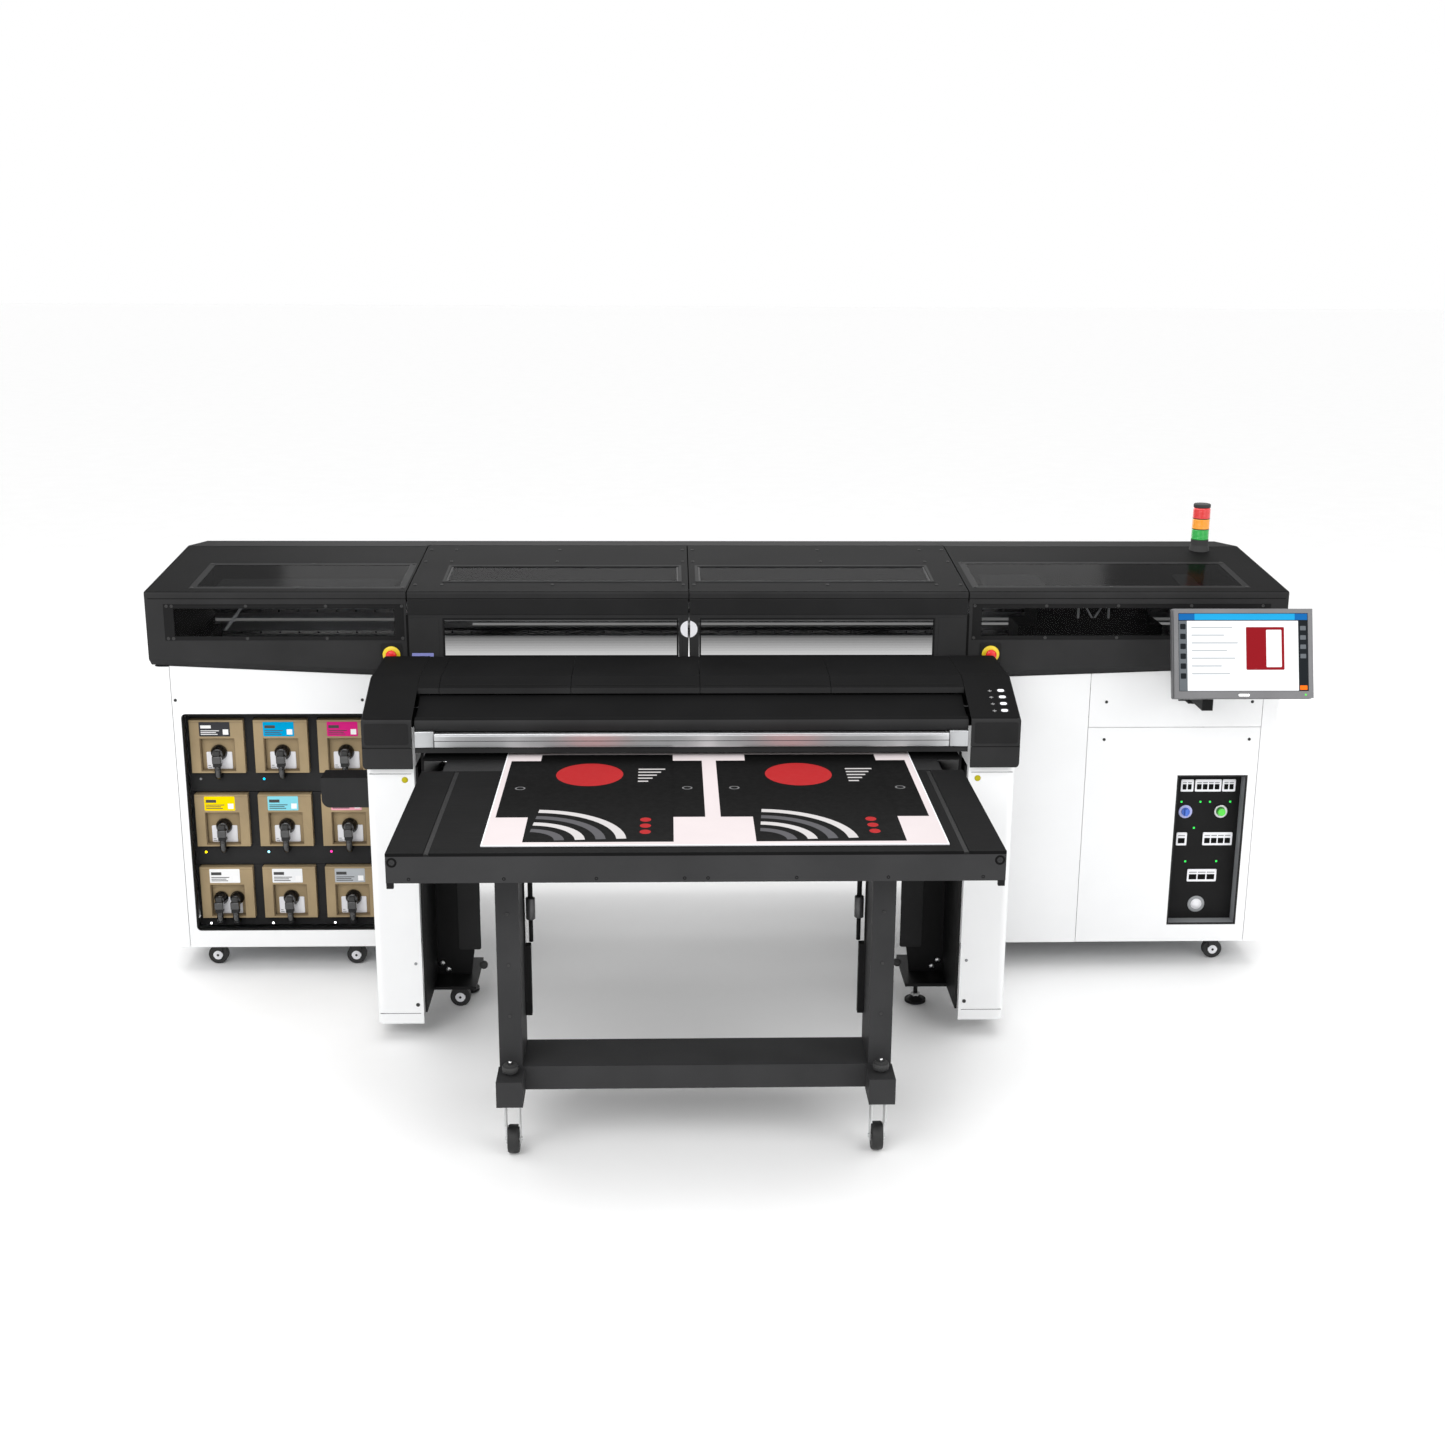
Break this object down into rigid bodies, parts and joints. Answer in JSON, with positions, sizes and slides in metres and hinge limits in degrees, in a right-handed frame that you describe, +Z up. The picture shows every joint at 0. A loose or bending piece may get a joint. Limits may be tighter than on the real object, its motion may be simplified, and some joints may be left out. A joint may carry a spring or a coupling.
{
  "type": "flatbed uv printer",
  "caption": "Wide hybrid flatbed printer: two cabinets, centre print zone under hoods, output unit, docked table, ink boxes and monitor.",
  "frame": {"origin": "centre of the bounding box's underside, on the floor", "axes": "+X along the machine to the operator's right, +Y towards the back, +Z up"},
  "size_m": [4.294, 2.592, 1.767],
  "materials": {
    "white_panel": "satin",
    "charcoal_cover": "satin",
    "tinted_glass": "gloss",
    "black_steel": "satin",
    "frame_steel": "satin",
    "alloy": "satin",
    "black_alloy": "satin",
    "brushed_bar": "satin",
    "black_plastic": "matte",
    "belt_rubber": "matte",
    "caster_rubber": "matte",
    "ink_carton": "matte",
    "beacon_lens": "gloss",
    "stop_red": "gloss",
    "switch_blue": "gloss",
    "button_green": "gloss",
    "monitor_case": "satin",
    "board_face": "satin",
    "screw_black": "satin"
  },
  "bodies": {
    "machine": {"cabinet_frames": "frame_steel", "left_side_panel": "white_panel", "left_front_panel": "white_panel", "ink_rack": "black_plastic", "right_side_panel": "white_panel", "right_panels": "white_panel", "electrical_panel": "black_steel", "back_panels": "white_panel", "left_end_cover": "charcoal_cover", "right_end_cover": "charcoal_cover", "end_windows": "tinted_glass", "print_beam": "alloy", "centre_fascia": "charcoal_cover", "platen": "alloy", "transport_belt": "belt_rubber", "side_plates": "black_steel", "service_stations": "black_plastic", "curing_module": "black_plastic", "front_towers": "black_steel", "leg_panels": "white_panel", "end_caps": "charcoal_cover", "front_guide": "black_alloy", "front_bar": "brushed_bar", "beacon_base": "black_plastic", "beacon_lenses": "beacon_lens", "levelling_feet": "black_steel", "cabinet_casters": "caster_rubber", "junction_box": "black_plastic", "panel_screws": "screw_black", "monitor_bracket": "black_steel", "table_top": "black_steel", "table_legs": "black_alloy"},
    "hood_l": {"hood_left": "charcoal_cover", "hood_left_window": "tinted_glass"},
    "hood_r": {"hood_right": "charcoal_cover", "hood_right_window": "tinted_glass"},
    "cover": {"output_cover": "charcoal_cover"},
    "carriage": {"carriage": "black_plastic"},
    "front_roller": {"front_roller": "belt_rubber"},
    "rear_roller": {"rear_roller": "belt_rubber"},
    "stop_button_left": {"estop_left": "stop_red"},
    "stop_button_right": {"estop_right": "stop_red"},
    "switch": {"main_switch": "switch_blue"},
    "start": {"start_button": "button_green"},
    "arm": {"monitor_arm": "black_steel"},
    "screen": {"monitor": "monitor_case"},
    "left_caster": {"left_fork": "frame_steel"},
    "right_caster": {"right_fork": "frame_steel"},
    "left_caster_wheel": {"left_wheel": "caster_rubber"},
    "right_caster_wheel": {"right_wheel": "caster_rubber"},
    "board": {"board": "board_face"},
    "ink_box_1": {"ink_carton_1": "ink_carton"},
    "ink_box_2": {"ink_carton_2": "ink_carton"},
    "ink_box_3": {"ink_carton_3": "ink_carton"},
    "ink_box_4": {"ink_carton_4": "ink_carton"},
    "ink_box_5": {"ink_carton_5": "ink_carton"},
    "ink_box_6": {"ink_carton_6": "ink_carton"},
    "ink_box_7": {"ink_carton_7": "ink_carton"},
    "ink_box_8": {"ink_carton_8": "ink_carton"},
    "ink_box_9": {"ink_carton_9": "ink_carton"}
  },
  "joints": [
    {"name": "hood_left_hinge", "type": "hinge", "parent": "machine", "child": "hood_l", "pos_m": [-0.655, 0.996, 1.566], "axis": [-1, 0, 0], "range_deg": [0, 60]},
    {"name": "hood_right_hinge", "type": "hinge", "parent": "machine", "child": "hood_r", "pos_m": [0.395, 0.996, 1.566], "axis": [-1, 0, 0], "range_deg": [0, 60]},
    {"name": "output_cover_hinge", "type": "hinge", "parent": "machine", "child": "cover", "pos_m": [-0.088, 0.228, 1.2885], "axis": [-1, 0, 0], "range_deg": [0, 55]},
    {"name": "carriage_travel", "type": "slide", "parent": "machine", "child": "carriage", "axis": [-1, 0, 0], "range_m": [0, 3.17]},
    {"name": "front_roller_spin", "type": "hinge", "parent": "machine", "child": "front_roller", "pos_m": [-0.125, 0.646, 1.0144], "axis": [1, 0, 0], "continuous": true},
    {"name": "rear_roller_spin", "type": "hinge", "parent": "machine", "child": "rear_roller", "pos_m": [-0.125, 1.166, 1.0144], "axis": [1, 0, 0], "continuous": true},
    {"name": "estop_left_press", "type": "slide", "parent": "machine", "child": "stop_button_left", "axis": [0, 1, 0], "range_m": [0, 0.005], "stiffness_N_per_m": 2500},
    {"name": "estop_right_press", "type": "slide", "parent": "machine", "child": "stop_button_right", "axis": [0, 1, 0], "range_m": [0, 0.005], "stiffness_N_per_m": 2500},
    {"name": "main_switch_turn", "type": "hinge", "parent": "machine", "child": "switch", "pos_m": [1.826, 0.406, 0.628], "axis": [0, -1, 0], "range_deg": [0, 90]},
    {"name": "start_button_press", "type": "slide", "parent": "machine", "child": "start", "axis": [0, 1, 0], "range_m": [0, 0.005], "stiffness_N_per_m": 1500},
    {"name": "ink_box_1_pull", "type": "slide", "parent": "machine", "child": "ink_box_1", "axis": [0, -1, 0], "range_m": [0, 0.35]},
    {"name": "ink_box_2_pull", "type": "slide", "parent": "machine", "child": "ink_box_2", "axis": [0, -1, 0], "range_m": [0, 0.35]},
    {"name": "ink_box_3_pull", "type": "slide", "parent": "machine", "child": "ink_box_3", "axis": [0, -1, 0], "range_m": [0, 0.35]},
    {"name": "ink_box_4_pull", "type": "slide", "parent": "machine", "child": "ink_box_4", "axis": [0, -1, 0], "range_m": [0, 0.35]},
    {"name": "ink_box_5_pull", "type": "slide", "parent": "machine", "child": "ink_box_5", "axis": [0, -1, 0], "range_m": [0, 0.35]},
    {"name": "ink_box_6_pull", "type": "slide", "parent": "machine", "child": "ink_box_6", "axis": [0, -1, 0], "range_m": [0, 0.35]},
    {"name": "ink_box_7_pull", "type": "slide", "parent": "machine", "child": "ink_box_7", "axis": [0, -1, 0], "range_m": [0, 0.35]},
    {"name": "ink_box_8_pull", "type": "slide", "parent": "machine", "child": "ink_box_8", "axis": [0, -1, 0], "range_m": [0, 0.35]},
    {"name": "ink_box_9_pull", "type": "slide", "parent": "machine", "child": "ink_box_9", "axis": [0, -1, 0], "range_m": [0, 0.35]},
    {"name": "arm_swivel", "type": "hinge", "parent": "machine", "child": "arm", "pos_m": [1.785, 0.284, 1.141], "axis": [0, 0, 1], "range_deg": [-35, 22]},
    {"name": "monitor_tilt", "type": "hinge", "parent": "arm", "child": "screen", "pos_m": [1.785, 0.11, 1.342], "axis": [1, 0, 0], "range_deg": [-20, 15]},
    {"name": "left_caster_swivel", "type": "hinge", "parent": "machine", "child": "left_caster", "pos_m": [-0.702, -1.154, 0.2], "axis": [0, 0, 1], "continuous": true},
    {"name": "left_wheel_spin", "type": "hinge", "parent": "left_caster", "child": "left_caster_wheel", "pos_m": [-0.702, -1.112, 0.045], "axis": [1, 0, 0], "continuous": true},
    {"name": "right_caster_swivel", "type": "hinge", "parent": "machine", "child": "right_caster", "pos_m": [0.452, -1.154, 0.2], "axis": [0, 0, 1], "continuous": true},
    {"name": "right_wheel_spin", "type": "hinge", "parent": "right_caster", "child": "right_caster_wheel", "pos_m": [0.452, -1.112, 0.045], "axis": [1, 0, 0], "continuous": true},
    {"name": "board_feed", "type": "slide", "parent": "machine", "child": "board", "axis": [0, -1, 0], "range_m": [-0.9, 0.05]}
  ],
  "couplings": [
    {"joint": "rear_roller_spin", "follows": "front_roller_spin", "ratio": 1}
  ]
}
